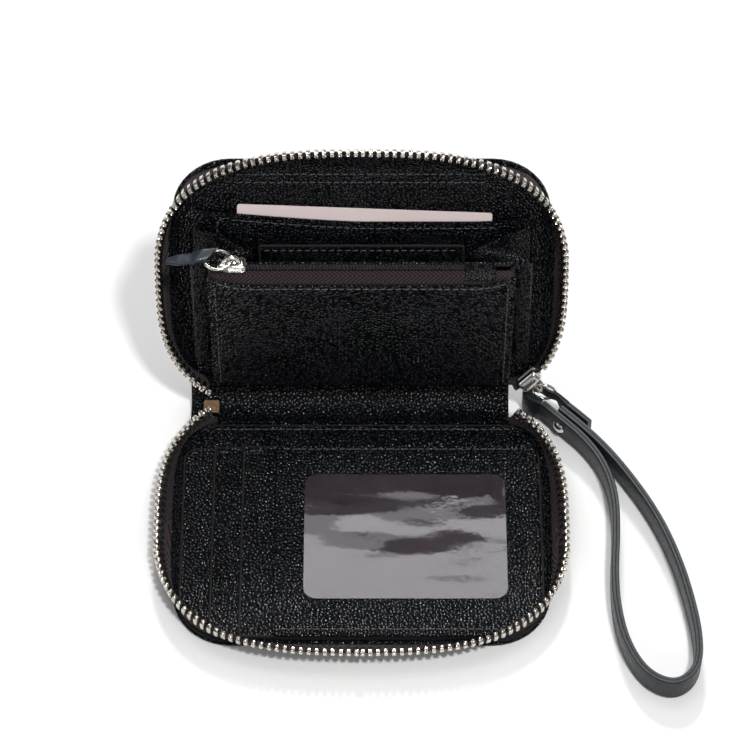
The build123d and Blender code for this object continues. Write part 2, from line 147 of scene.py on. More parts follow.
# ---- mesh helpers ----
def mesh_object(name, points, faces, material, sharp=35):
    """A piece from points and faces, shaded smooth except across sharp edges."""
    mesh = bpy.data.meshes.new(name)
    mesh.from_pydata([tuple(p) for p in points], [], faces)
    bm = bmesh.new()
    bm.from_mesh(mesh)
    bmesh.ops.recalc_face_normals(bm, faces=bm.faces)
    bm.to_mesh(mesh)
    bm.free()
    mesh.polygons.foreach_set("use_smooth", [True] * len(mesh.polygons))
    mesh.set_sharp_from_angle(angle=math.radians(sharp))
    mesh.materials.append(material)
    obj = bpy.data.objects.new(name, mesh)
    bpy.context.collection.objects.link(obj)
    return obj


def set_uv(obj, places):
    """Gives each vertex its place on the cloth, in millimetres."""
    layer = obj.data.uv_layers.new(name="cloth")
    for loop in obj.data.loops:
        layer.data[loop.index].uv = places[loop.vertex_index]


def skin(rings, closed=True, caps=True, wrap=False):
    """Faces between rings of equal length."""
    count = len(rings[0])
    points = [p for ring in rings for p in ring]
    faces = []
    spans = len(rings) if wrap else len(rings) - 1
    for r in range(spans):
        here = r * count
        after = ((r + 1) % len(rings)) * count
        for i in range(count if closed else count - 1):
            j = (i + 1) % count
            faces.append((here + i, here + j, after + j, after + i))
    if caps and not wrap:
        faces.append(tuple(range(count)))
        faces.append(tuple(range(len(points) - count, len(points))))
    return points, faces


def solid(name, rings, material, sharp=35, **how):
    """A piece skinned over its rings."""
    points, faces = skin(rings, **how)
    return mesh_object(name, points, faces, material, sharp)


def turns(count):
    """Angles that share out one whole turn."""
    return [math.tau * k / count for k in range(count)]


def rounded(corners, radii, inset=0.0, steps=7, per_side=1):
    """Points round a convex polygon with rounded corners, moved in by inset."""
    points = []
    count = len(corners)
    arcs = []
    for i in range(count):
        here = Vector(corners[i])
        a = (here - Vector(corners[i - 1])).normalized()
        b = (Vector(corners[(i + 1) % count]) - here).normalized()
        turn = math.atan2(a.x * b.y - a.y * b.x, a.dot(b))
        normal = Vector((-a.y, a.x))
        middle = (normal + Vector((-b.y, b.x))).normalized()
        corner = here + middle * inset / middle.dot(normal)
        radius = max(radii[i] - inset, 0.3)
        start = corner - a * radius * math.tan(turn / 2)
        centre = start + normal * radius
        spins = [Matrix.Rotation(turn * k / steps, 2) for k in range(steps + 1)]
        arcs.append([centre + m @ (start - centre) for m in spins])
    for i in range(count):
        points += arcs[i]
        last = arcs[i][-1]
        target = arcs[(i + 1) % count][0]
        points += [last.lerp(target, k / per_side) for k in range(1, per_side)]
    return points


def box_corners(left, right, near, far):
    """Corners of a rectangle, in the order that rounded() takes."""
    return [(left, near), (right, near), (right, far), (left, far)]


def slab(name, corners, radii, low, high, at, material, edge=0.3, groove=0.0):
    """Panel with rounded edges; a grooved one has its edges painted near black as shade and a dip under its
    stitching.
    """
    rows = [(edge, low), (0.0, low + edge), (0.0, high - edge), (edge, high)]
    if groove:
        rows += [(0.75, high), (groove - 0.5, high), (groove, high - 0.14), (groove + 0.5, high)]
    width = corners[1][0] - corners[0][0]
    rows += [(min(5.0 + groove, 0.3 * width), high)]
    rings = []
    for inset, w in rows:
        rings.append([at(p.x, p.y, w) for p in rounded(corners, radii, inset, per_side=6)])
    obj = solid(name, rings, material)
    # painted shade: on a grooved panel the edge and a narrow band of the top take a near-black material, a
    # shadow line round the panel
    if groove:
        obj.data.materials.append(EDGE_SHADE)
        for face in obj.data.polygons[: 4 * len(rings[0])]:
            face.material_index = 1
    return obj


def stamp(name, template, places, material, sharp=35):
    """One mesh made of many copies of a small template."""
    points = []
    faces = []
    base_points, base_faces = template
    for place in places:
        offset = len(points)
        points += [place @ Vector(p) for p in base_points]
        faces += [tuple(offset + i for i in f) for f in base_faces]
    return mesh_object(name, points, faces, material, sharp)


def basis(origin, x_axis, z_hint):
    """Placement matrix with its x along one direction and its z near another."""
    x = x_axis.normalized()
    y = z_hint.cross(x).normalized()
    z = x.cross(y)
    m = Matrix((x, y, z)).transposed().to_4x4()
    m.translation = origin
    return m @ Matrix.Scale(MM, 4)


def along(points, pitch, start=0.5):
    """Places one pitch apart on a polyline: point, direction and index."""
    places = []
    travelled = 0.0
    wanted = pitch * start
    for i in range(len(points) - 1):
        step = (points[i + 1] - points[i]).length
        while step > 0 and travelled + step >= wanted:
            share = (wanted - travelled) / step
            places.append((points[i].lerp(points[i + 1], share), points[i + 1] - points[i], i))
            wanted += pitch
        travelled += step
    return places


def thread_template():
    """A single stitch: a short plump thread that dips at both ends."""
    rings = []
    for x, r, z in ((-1.1, 0.04, -0.12), (-0.8, 0.17, 0.0), (0.0, 0.21, 0.06), (0.8, 0.17, 0.0),
                    (1.1, 0.04, -0.12)):
        rings.append([(x, r * math.cos(a), z + 0.05 + r * math.sin(a)) for a in turns(6)])
    return skin(rings)


THREAD = thread_template()
STITCH_PITCH = 2.7


def stitches(name, points, up, body):
    """Row of stitches on a body, along a line on a surface that faces up."""
    rng = random.Random(name)
    places = []
    for place, direction, _ in along(points, STITCH_PITCH * MM):
        m = basis(place, direction, up)
        places.append(m @ Matrix.Rotation(math.radians(rng.uniform(-5, 9)), 4, "Z"))
    return own(stamp(name, THREAD, places, THREAD_BLACK), body, "pebble_leather")


# ---- materials ----
class Nodes:
    """Short way to write a material's nodes. Each method adds nodes and gives back their output."""

    def __init__(self, name):
        self.material = bpy.data.materials.new(name)
        self.material.use_nodes = True
        self.tree = self.material.node_tree
        self.shader = self.tree.nodes["Principled BSDF"]

    def add(self, kind, inputs=None, **settings):
        node = self.tree.nodes.new(kind)
        for key, value in settings.items():
            setattr(node, key, value)
        for key, value in (inputs or {}).items():
            self.link(value, node.inputs[key])
        return node

    def link(self, value, socket):
        if isinstance(value, bpy.types.NodeSocket):
            self.tree.links.new(value, socket)
        else:
            socket.default_value = value

    def set(self, **inputs):
        for key, value in inputs.items():
            self.link(value, self.shader.inputs[key.replace("_", " ")])

    def math(self, operation, a, b=0.0):
        return self.add("ShaderNodeMath", {0: a, 1: b}, operation=operation).outputs[0]

    def ramp(self, value, low, high, to_low=0.0, to_high=1.0):
        inputs = {"Value": value, "From Min": low, "From Max": high, "To Min": to_low, "To Max": to_high}
        return self.add("ShaderNodeMapRange", inputs, interpolation_type="SMOOTHSTEP").outputs["Result"]

    def blend(self, a, b, share):
        """Weighted sum of two values, share of it the first."""
        return self.math("ADD", self.math("MULTIPLY", a, share), self.math("MULTIPLY", b, 1 - share))

    def mix(self, share, a, b):
        node = self.add("ShaderNodeMix", {0: share, 6: a, 7: b}, data_type="RGBA")
        return node.outputs[2]

    def place(self):
        return self.add("ShaderNodeTexCoord").outputs["Object"]

    def noise(self, where, scale, detail=2.0, rough=0.5):
        inputs = {"Vector": where, "Scale": scale, "Detail": detail, "Roughness": rough}
        return self.add("ShaderNodeTexNoise", inputs).outputs["Fac"]

    def bump(self, height, depth, strength=1.0, normal=None):
        inputs = {"Height": height, "Distance": depth, "Strength": strength}
        if normal:
            inputs["Normal"] = normal
        return self.add("ShaderNodeBump", inputs).outputs["Normal"]


def rgb(r, g, b):
    """Opaque colour."""
    return (r, g, b, 1.0)


def pebble_leather(name, base, crease_shade, cells=880.0, depth=0.00027, gloss=0.22):
    """Black leather pressed with a small pebble grain, with painted shade darkening the hollows between the
    pebbles.
    """
    n = Nodes(name)
    where = n.place()
    warp = n.add("ShaderNodeTexNoise", {"Vector": where, "Scale": 260.0, "Detail": 2.0}).outputs["Color"]
    bent = n.add("ShaderNodeMix", {0: 0.0003, 4: where, 5: warp}, data_type="VECTOR").outputs[1]
    grain = n.add("ShaderNodeTexVoronoi", {"Vector": bent, "Scale": cells, "Smoothness": 0.25,
                                           "Randomness": 0.9}, feature="SMOOTH_F1").outputs["Distance"]
    rim = n.add("ShaderNodeTexVoronoi", {"Vector": bent, "Scale": cells, "Randomness": 0.9},
                feature="DISTANCE_TO_EDGE").outputs["Distance"]
    dome = n.ramp(grain, 0.75, 0.05)
    gap = n.ramp(rim, 0.0, 0.16)
    height = n.math("MULTIPLY", n.math("ADD", dome, 0.35), gap)
    fine = n.noise(where, 3600.0, 3.0)
    broad = n.noise(where, 55.0, 2.0)
    # painted shade: the hollows between the pebbles take the darker second colour
    colour = n.mix(gap, crease_shade, base)
    patch = n.ramp(broad, 0.3, 0.7, 0.75, 1.25)
    tint = n.add("ShaderNodeMix", {0: 1.0, 6: colour, 7: patch}, data_type="RGBA", blend_type="MULTIPLY")
    rough = n.ramp(n.blend(fine, broad, 0.5), 0.3, 0.7, gloss - 0.06, gloss + 0.1)
    soft = n.bump(broad, 0.0006, 0.15)
    skin_normal = n.bump(n.math("ADD", height, n.math("MULTIPLY", fine, 0.05)), depth, 1.0, soft)
    crown = n.ramp(height, 0.15, 1.1, 0.06, 0.8)
    n.set(Base_Color=tint.outputs[2], Roughness=rough, Normal=skin_normal, Specular_IOR_Level=crown)
    return n.material


def cloth(name, base, lift):
    """Herringbone tape, woven across bands that turn back on each other; its ridges carry a painted highlight
    and its hollows painted shade.
    """
    yarn = 0.85
    band = 3.0
    n = Nodes(name)
    uv = n.add("ShaderNodeUVMap", uv_map="cloth").outputs["UV"]
    parts = n.add("ShaderNodeSeparateXYZ", {"Vector": uv})
    zigzag = n.math("PINGPONG", parts.outputs["Y"], band)
    turn = n.math("MULTIPLY", n.math("ADD", parts.outputs["X"], zigzag), math.tau / (yarn * 1.8))
    ridge = n.math("SINE", turn)
    rib = n.math("SINE", n.math("MULTIPLY", parts.outputs["Y"], math.tau / yarn))
    height = n.blend(ridge, rib, 0.85)
    fuzz = n.noise(n.place(), 5200.0, 3.0)
    # painted light: the colour follows the weave's height, lighter on the ridges as painted highlight and
    # darker in the hollows as painted shade, with a random fuzz in the yarn's tone
    share = n.ramp(n.math("ADD", height, n.math("MULTIPLY", fuzz, 0.8)), -0.6, 1.4)
    n.set(Base_Color=n.mix(share, base, lift), Roughness=0.85, Normal=n.bump(height, 0.00022, 0.9),
          Sheen_Weight=0.06, Sheen_Roughness=0.5, Specular_IOR_Level=0.25)
    return n.material


def pocket_cloth(name, base, lift):
    """Fine smooth lining cloth with a speckle in its yarn."""
    n = Nodes(name)
    speck = n.noise(n.place(), 1700.0, 3.0, 0.7)
    cloudy = n.noise(n.place(), 60.0, 2.0)
    share = n.ramp(n.blend(speck, cloudy, 0.6), 0.35, 0.65)
    n.set(Base_Color=n.mix(share, base, lift), Roughness=0.8, Normal=n.bump(speck, 0.00006, 0.7),
          Sheen_Weight=0.1, Specular_IOR_Level=0.3)
    return n.material


def nickel(name, colour=(0.74, 0.70, 0.63), rough=0.14):
    """Polished nickel with faint tarnish and handling marks."""
    n = Nodes(name)
    where = n.place()
    marks = n.noise(where, 1900.0, 4.0, 0.6)
    haze = n.noise(where, 300.0, 2.0)
    tone = n.mix(n.ramp(haze, 0.35, 0.75), rgb(*colour), rgb(*[c * 0.78 for c in colour]))
    n.set(Base_Color=tone, Metallic=1.0, Roughness=n.ramp(marks, 0.3, 0.75, rough * 0.6, rough * 2.0),
          Normal=n.bump(marks, 0.00002, 0.5))
    return n.material


def strap_leather(name, base, gloss=0.42):
    """Smooth leather of the wrist strap, with a faint grain."""
    n = Nodes(name)
    where = n.place()
    grain = n.add("ShaderNodeTexVoronoi", {"Vector": where, "Scale": 1500.0}).outputs["Distance"]
    fine = n.noise(where, 900.0, 5.0, 0.6)
    cloudy = n.noise(where, 70.0, 2.0)
    height = n.math("ADD", n.math("MULTIPLY", grain, 0.5), fine)
    share = n.ramp(n.blend(fine, cloudy, 0.4), 0.35, 0.65)
    lift = rgb(*[c * 1.7 for c in base])
    rough = n.ramp(fine, 0.3, 0.7, gloss - 0.05, gloss + 0.12)
    n.set(Base_Color=n.mix(share, rgb(*base), lift), Roughness=rough, Normal=n.bump(height, 0.00009, 0.7),
          Specular_IOR_Level=0.45)
    return n.material


def edge_paint(name):
    """Matt grey-black paint on the strap's cut edges."""
    n = Nodes(name)
    drag = n.noise(n.place(), 1400.0, 4.0)
    tone = n.mix(n.ramp(drag, 0.35, 0.7), rgb(0.024, 0.029, 0.033), rgb(0.050, 0.057, 0.062))
    n.set(Base_Color=tone, Roughness=0.52, Normal=n.bump(drag, 0.00006, 0.6))
    return n.material


def thread(name, base):
    """Waxed sewing thread."""
    n = Nodes(name)
    ply = n.noise(n.place(), 4200.0, 2.0)
    lift = rgb(*[c * 2.0 for c in base])
    n.set(Base_Color=n.mix(ply, rgb(*base), lift), Roughness=0.42, Normal=n.bump(ply, 0.00006, 0.7))
    return n.material


def vinyl(name):
    """Clear soft vinyl whose two faces are slightly wavy, each in its own way."""
    n = Nodes(name)
    stretch = {"Vector": n.place(), "Scale": (13.0, 30.0, 12000.0)}
    where = n.add("ShaderNodeMapping", stretch).outputs["Vector"]
    wave = n.noise(where, 1.0, 2.0, 0.5)
    ripple = n.noise(n.place(), 500.0, 2.0)
    normal = n.bump(n.math("ADD", wave, n.math("MULTIPLY", ripple, 0.012)), 0.0008, 1.0)
    clear = n.add("ShaderNodeBsdfTransparent", {"Color": rgb(0.93, 0.92, 0.93)})
    shine = n.add("ShaderNodeBsdfGlossy", {"Color": rgb(1.0, 1.0, 1.0), "Roughness": 0.04, "Normal": normal})
    share = n.add("ShaderNodeFresnel", {"IOR": 1.62}).outputs["Fac"]
    both = n.add("ShaderNodeMixShader", {0: share, 1: clear.outputs[0], 2: shine.outputs[0]})
    n.tree.links.new(both.outputs[0], n.tree.nodes["Material Output"].inputs["Surface"])
    return n.material


def plain(name, base, lift, rough, scale=300.0, depth=0.00005):
    """Quiet material with a little variation, such as card, board or moulded nylon."""
    n = Nodes(name)
    blot = n.noise(n.place(), scale, 4.0, 0.6)
    n.set(Base_Color=n.mix(n.ramp(blot, 0.3, 0.7), rgb(*base), rgb(*lift)), Roughness=rough,
          Normal=n.bump(blot, depth, 0.6))
    return n.material


# the second colour of each leather is painted shade for the hollows of its grain
LEATHER = pebble_leather("pebble leather", rgb(0.0036, 0.0043, 0.0060), rgb(0.0009, 0.0010, 0.0014))
LINING = pebble_leather("lining leather", rgb(0.0034, 0.0040, 0.0056), rgb(0.0009, 0.0010, 0.0014), 960.0)
FINE = pebble_leather("fine leather", rgb(0.0038, 0.0046, 0.0062), rgb(0.0012, 0.0013, 0.0017), 1100.0,
                      0.00020, 0.30)
# the tape's second colour is the painted highlight on the ridges of its weave
TAPE = cloth("zip tape", rgb(0.007, 0.0040, 0.0048), rgb(0.048, 0.030, 0.034))
POCKET = pocket_cloth("pocket cloth", rgb(0.026, 0.016, 0.026), rgb(0.050, 0.034, 0.048))
NICKEL = nickel("nickel")
BRIGHT = nickel("bright nickel", (0.88, 0.85, 0.79), 0.16)
STRAP = strap_leather("strap leather", (0.0070, 0.0088, 0.0110))
TAB = strap_leather("tab leather", (0.0095, 0.0135, 0.0200), 0.34)
EDGE = edge_paint("edge paint")
THREAD_BLACK = thread("black thread", (0.050, 0.053, 0.058))
VINYL = vinyl("clear vinyl")
COIL = plain("coil nylon", (0.010, 0.008, 0.010), (0.035, 0.028, 0.032), 0.32, 900.0)
TAN = plain("tan leather", (0.17, 0.10, 0.055), (0.30, 0.19, 0.11), 0.75, 800.0, 0.00015)
# painted shade: near-black colour for the shadow line along the edges of grooved panels
EDGE_SHADE = plain("painted edge shade", (0.0010, 0.0011, 0.0014), (0.0022, 0.0024, 0.0030), 0.8, 900.0)
CARD = plain("card stock", (0.92, 0.77, 0.76), (0.95, 0.81, 0.80), 0.45, 60.0, 0.00001)
BOARD = plain("stiffener board", (0.012, 0.011, 0.010), (0.022, 0.020, 0.018), 0.9, 500.0)


def own(obj, body, slot, *nodes):
    """Hangs a finished piece on its body and hides the parts it stands for; its slot argument is not used."""
    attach(obj, body)
    if nodes:
        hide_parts(*nodes)
    return obj


def bend(obj, node):
    """Finishes a soft piece that spans two bodies: bakes its placement into its mesh and hides the part it
    stands for.
    """
    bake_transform(obj)
    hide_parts(node)
    return obj


# ---- zip ----
def zip_point(outline, angle):
    """Point of a zip outline, in x and v, at an angle about its centre."""
    half_x, far_v, near_v, far_power, near_power = outline
    c = math.cos(angle)
    s = math.sin(angle)
    half_v = far_v if s > 0 else near_v
    power = far_power if s > 0 else near_power
    x = half_x * math.copysign(abs(c) ** (2 / power), c)
    v = ZIP_CENTRE + half_v * math.copysign(abs(s) ** (2 / power), s)
    return Vector((x, v))


def zip_row(outline, count):
    """Points along a zip outline, from the right end round to the left end."""
    end = math.asin(((ZIP_CENTRE - ZIP_END_V) / outline[2]) ** (outline[4] / 2))
    whole = math.pi + 2 * end
    return [zip_point(outline, -end + whole * i / (count - 1)) for i in range(count)]


def outward(points, i):
    """Outward direction at one point of a zip outline."""
    step = points[min(i + 1, len(points) - 1)] - points[max(i - 1, 0)]
    return Vector((step.y, -step.x)).normalized()


STATIONS = 200
BASE_ROW = zip_row(ZIP_BASE, STATIONS)
TOP_ROW = zip_row(ZIP_TOP, STATIONS)


def wall_point(i, share, half):
    """Point of a half's tape, at its middle surface; share runs from its foot to its edge."""
    spread = 1 - (1 - share) ** CURVES[half]
    p = BASE_ROW[i].lerp(TOP_ROW[i], spread)
    return p, TAPE_BASE + (TAPE_TOP - TAPE_BASE) * share


CURVES = {"front": 1.0, "back": 1.45}


def zip_tape(half, at):
    """Herringbone tape wall with a corded edge under the teeth."""
    rows = 9
    rings = []
    cloth_places = []
    walked = 0.0
    for i in range(STATIONS):
        n = outward(TOP_ROW, i)
        ring = []
        places = []
        for side in (-1, 1):
            for k in range(rows):
                share = k / (rows - 1) if side < 0 else 1 - k / (rows - 1)
                p, w = wall_point(i, share, half)
                thick = 0.36 + (0.26 if share > 0.86 else 0.0)
                q = p + n * side * thick
                ring.append(at(q.x, q.y, w))
                places.append((walked, share * 9.4))
        rings.append(ring)
        cloth_places += places
        if i + 1 < STATIONS:
            walked += (TOP_ROW[i + 1] - TOP_ROW[i]).length
    obj = solid(f"{half}_tape", rings, TAPE, 60)
    set_uv(obj, cloth_places)
    return own(obj, f"{half}_half", "zip_fabric", f"{half}_zip_tape")


def tooth_template():
    """Metal tooth: two legs clamped over the tape's edge and a dimpled head."""
    profile = [
        (1.12, -1.85), (1.28, -0.6), (1.30, 0.7), (1.05, 1.45), (0.55, 1.85), (0.18, 1.92),
        (-0.18, 1.92), (-0.55, 1.85), (-1.05, 1.45), (-1.30, 0.7), (-1.28, -0.6), (-1.12, -1.85),
        (-0.66, -1.85), (-0.62, -0.2), (0.62, -0.2), (0.66, -1.85),
    ]
    rings = []
    for x, shrink, dip in ((-0.74, 0.84, 0.0), (-0.58, 1.0, 0.0), (-0.2, 1.0, 0.5), (0.2, 1.0, 0.5),
                           (0.58, 1.0, 0.0), (0.74, 0.84, 0.0)):
        ring = []
        for y, z in profile:
            top = dip if z > 1.9 else dip * 0.35 if z > 1.8 else 0.0
            ring.append((x, y * shrink, (z - top) * shrink))
        rings.append(ring)
    return skin(rings)


STANDS = {"front": 0.12, "back": 0.62}
SKIPPED = {"front": 0, "back": 5}


def zip_teeth(half, at):
    """Row of separate teeth straddling the tape's edge."""
    rng = random.Random(half)
    template = tooth_template()
    fine = 3000
    top = zip_row(ZIP_TOP, fine)
    base = zip_row(ZIP_BASE, fine)
    line = [Vector((p.x, p.y, 0)) for p in top]
    places = []
    for spot, step, i in along(line, TOOTH_PITCH)[SKIPPED[half]:]:
        lean = Vector((top[i].x - base[i].x, top[i].y - base[i].y, TAPE_TOP - TAPE_BASE)).normalized()
        lean = lean.lerp(Vector((0, 0, 1)), STANDS[half]).normalized()
        here = Vector((spot.x, spot.y, TAPE_TOP)) + lean * 0.55
        centre = at(*here)
        x_axis = at(*(here + step.normalized())) - centre
        z_axis = at(*(here + lean)) - centre
        m = basis(centre, x_axis, z_axis)
        turn = Matrix.Rotation(math.radians(rng.uniform(-4, 4)), 4, "Z")
        places.append(m @ turn @ Matrix.Rotation(math.radians(rng.uniform(-3, 3)), 4, "X"))
    obj = stamp(f"{half}_teeth", template, places, NICKEL, 50)
    return own(obj, f"{half}_half", "nickel_metal", f"{half}_zip_teeth")


# ---- shells and linings ----
def cover(half, at):
    """Outer shell: pebbled leather turned over at its edge."""
    corners = [(-SPINE_HALF, 0.15), (SPINE_HALF, 0.15), (HALF_X, 26), (HALF_X, DEPTH), (-HALF_X, DEPTH),
               (-HALF_X, 26)]
    radii = [0.5, 0.5, 40, CORNER, CORNER, 40]
    rows = [(6, 0.0), (0.5, 0.0), (0.12, 0.14), (0.0, 0.5), (0.05, 0.95), (0.45, 1.2), (3.5, 1.2), (6, 1.2)]
    rings = [[at(p.x, p.y, w) for p in rounded(corners, radii, inset, 10, 4)] for inset, w in rows]
    obj = solid(f"{half}_shell", rings, LEATHER)
    return own(obj, f"{half}_half", "pebble_leather", f"{half}_cover")


def lining(half, at):
    """Floor of the half, turned up a little way against the tape wall."""
    fading = 14
    closing = 14
    insets = (0.42, 0.42, 0.42, 0.62, 0.66, 0.95, 1.7, 3.0)
    shares = (0.0, 0.2, 0.45, 0.45, 0.38, 0.12, 0.03, 0.0)
    rings = [[] for _ in insets]
    for i in range(STATIONS):
        n = outward(BASE_ROW, i)
        fade = min(min(i, STATIONS - 1 - i) / fading, 1.0)
        for ring, inset, share in zip(rings, insets, shares):
            p, w = wall_point(i, share * fade, half)
            q = p - n * (inset + (1 - fade) * 0.4)
            ring.append(at(q.x, q.y, w + (0.45 if ring is not rings[0] else 0.0)))
    right = BASE_ROW[0]
    left = BASE_ROW[-1]
    for k in range(1, closing):
        p = left.lerp(right, k / closing)
        for ring, inset in zip(rings, insets):
            low = 2.05 if ring is rings[0] else 2.5
            ring.append(at(p.x * (1 - inset * 0.02), p.y + 0.2 + inset * 0.3, low))
    obj = solid(f"{half}_inside", rings, LINING)
    return own(obj, f"{half}_half", "pebble_leather", f"{half}_lining")


def floor_row(half, at, v, w, reach, name):
    """Straight stitch row across a half."""
    line = [at(x, v, w) for x in range(-reach, reach + 1, 3)]
    return stitches(name, line, facing(at), f"{half}_half")


# ---- front half's pockets ----
def front_panel(name, corners, radii, low, high, node):
    """Leather panel of the front half, grooved for its stitching."""
    obj = slab(name, corners, radii, low, high, front_at, LEATHER, 0.28, 2.3)
    return own(obj, "front_half", "pebble_leather", node)


def front_pockets():
    """Note pocket and card slots, with stitch rows for these and for the identity pocket."""
    corners = box_corners(-62.2, 62.2, 4.4, DEPTH)
    front_panel("note_pocket", corners, [14, 14, 18, 18], 2.55, 3.15, "bill_pocket_panel")
    corners = box_corners(-61.4, 61.4, SLOTS_NEAR, SLOTS_FAR + 0.2)
    front_panel("slot_backing", corners, [5, 5, 18, 18], 3.2, 3.8, "slot_backing_panel")
    corners = box_corners(-51.0, SLOTS_RIGHT, SLOTS_NEAR, SLOTS_FAR)
    front_panel("slot_one", corners, [1, 4, 17, 8], 3.85, 4.5, "card_slot_1")
    corners = box_corners(-41.0, SLOTS_RIGHT, SLOTS_NEAR, SLOTS_FAR)
    front_panel("slot_two", corners, [1, 4, 17, 2], 4.5, 5.2, "card_slot_2")
    for name, v, w, left, right in (
        ("note_stitch", 6.6, 3.16, -51, 52),
        ("backing_stitch", 16.8, 3.82, -59, -53),
        ("slot_stitch_one", 16.8, 4.52, -49, -43),
        ("slot_stitch_two", 16.8, 5.22, -39, -31),
        ("identity_far_stitch", 16.8, 6.22, -27, 57),
        ("identity_near_stitch", 88.0, 6.22, -27, 50),
    ):
        line = [front_at(x, v, w) for x in range(left, right, 2)]
        stitches(name, line, facing(front_at), "front_half")


def identity_pocket():
    """Leather frame with a rounded window, clear vinyl and the cloth behind it."""
    outer = (box_corners(IDENTITY_LEFT, SLOTS_RIGHT, SLOTS_NEAR, SLOTS_FAR), [2, 4, 16, 2])
    inner = (box_corners(*WINDOW), [4.5] * 4)
    rings = []
    for shape, inset, w in (
        (outer, 0.3, 5.3), (outer, 0.0, 5.5), (outer, 0.0, 5.95), (outer, 0.3, 6.22), (outer, 1.7, 6.24),
        (outer, 2.2, 6.08), (outer, 2.7, 6.24), (outer, 5.0, 6.26), (inner, -2.4, 6.22), (inner, -0.5, 6.2),
        (inner, -0.1, 6.05), (inner, 0.0, 5.75), (inner, -0.2, 5.5), (inner, -2.0, 5.5), (outer, 3.0, 5.3),
    ):
        outline = rounded(shape[0], shape[1], inset, 7, 6)
        rings.append([front_at(p.x, p.y, w) for p in outline])
    own(solid("identity_frame", rings, LEATHER, wrap=True), "front_half", "pebble_leather", "id_pocket_frame")
    pane("identity_vinyl", 1.8, 5.42, 5.50, VINYL, "clear_vinyl", "id_window")
    pane("identity_cloth", 2.6, 5.20, 5.30, POCKET, "zip_fabric", "id_pocket_backing")


def pane(name, rim, low, high, material, slot, node):
    """Thin rounded sheet behind the identity pocket's window."""
    left, right, near, far = WINDOW
    corners = box_corners(left - rim, right + rim, near - rim, far + rim)
    obj = slab(name, corners, [5] * 4, low, high, front_at, material, 0.02)
    return own(obj, "front_half", slot, node)


# ---- spine ----
def bent_sheet(name, radius, thick, left, right, from_deg, to_deg):
    """Leather bent round the fold, with rounded long edges."""
    profile = [(0.0, 0.35), (0.0, 0.65), (0.15, 0.95), (0.4, 1.0), (0.4, 0.0), (0.15, 0.05)]
    across = 44
    rings = []
    steps = 26
    for k in range(steps + 1):
        a = math.radians(from_deg + (to_deg - from_deg) * k / steps)
        ring = []
        edge = [(left + x, d) for x, d in profile[:4]]
        top = [(left + (right - left) * i / across, 1.0) for i in range(1, across)]
        far = [(right - x, d) for x, d in reversed(profile[:4])]
        low_far = [(right - x, d) for x, d in reversed(profile[4:])]
        bottom = [(left + (right - left) * i / across, 0.0) for i in range(across - 1, 0, -1)]
        low = [(left + x, d) for x, d in profile[4:]]
        for x, depth in edge + top + far + low_far + bottom + low:
            r = radius - thick * depth
            ring.append(table_at(x, HINGE_Y + r * math.sin(a), MID - r * math.cos(a)))
        rings.append(ring)
    return solid(name, rings, LEATHER)


def spine():
    """Outer and inner leather of the spine and the tan tab at the zip's left end."""
    outer = bent_sheet("spine_outside", MID, 1.2, -SPINE_HALF, 51.0, -4, 73)
    bend(outer, "spine_cover")
    inner = bent_sheet("spine_inside", 8.6, 0.6, -50.0, 51.0, -28, 76)
    bend(inner, "spine_lining")
    corners = box_corners(-55.0, -49.6, -3.6, 1.4)
    tab = slab("zip_end_tab", corners, [0.7] * 4, 5.6, 6.5, front_at, TAN, 0.2)
    own(tab, "front_half", "tan_leather", "zip_end_patch")


# ---- back half's pockets ----
def slip_edge(x):
    """Top edge of the slip pocket, which rises towards the left and at its right end."""
    return 68.6 + 3.0 * (max(0.0, -x) / 40) ** 1.3 + 0.8 * (max(0.0, x - 36) / 14) ** 2


def slip_pocket():
    """Panel in front of the spare card, stitched below its edge."""
    across = 40
    rings = []
    for v_share, w in ((0.0, SLIP_LOW), (0.0, 4.5), (0.5, 4.6), (0.93, 4.55), (0.965, 4.42), (0.985, 4.5),
                       (1.0, 4.3), (1.0, 3.95), (0.99, SLIP_LOW)):
        ring = []
        for i in range(across + 1):
            x = -SLIP_HALF + 2 * SLIP_HALF * i / across
            v = SLIP_NEAR + (slip_edge(x) - SLIP_NEAR) * v_share
            ring.append(back_at(x, v, w))
        rings.append(ring)
    panel = solid("slip_pocket", rings, LEATHER, closed=False, caps=False, wrap=True)
    own(panel, "back_half", "pebble_leather", "slip_pocket_panel")
    line = [back_at(x, slip_edge(x) - 2.4, 4.5) for x in range(-44, 46, 2)]
    stitches("slip_stitch", line, facing(back_at), "back_half")
    corner = [(-45.5, 70.4), (-47.5, 69.6), (-48.4, 67.5), (-48.6, 64.0)]
    line = [back_at(x, v, 4.5) for x, v in corner]
    stitches("slip_end_stitch", line, facing(back_at), "back_half")


def spare_card():
    """Pale card standing in the slip pocket."""
    turn = Matrix.Rotation(CARD_TILT, 2)
    half_x, half_v = CARD_HALF
    flat = box_corners(-half_x, half_x, -half_v, half_v)
    corners = [turn @ Vector(c) + Vector((0, CARD_CENTRE_V)) for c in flat]
    obj = slab("pale_card", corners, [0.8] * 4, 2.9, 3.45, back_at, CARD, 0.05)
    return own(obj, "card", "card_stock", "spare_card")


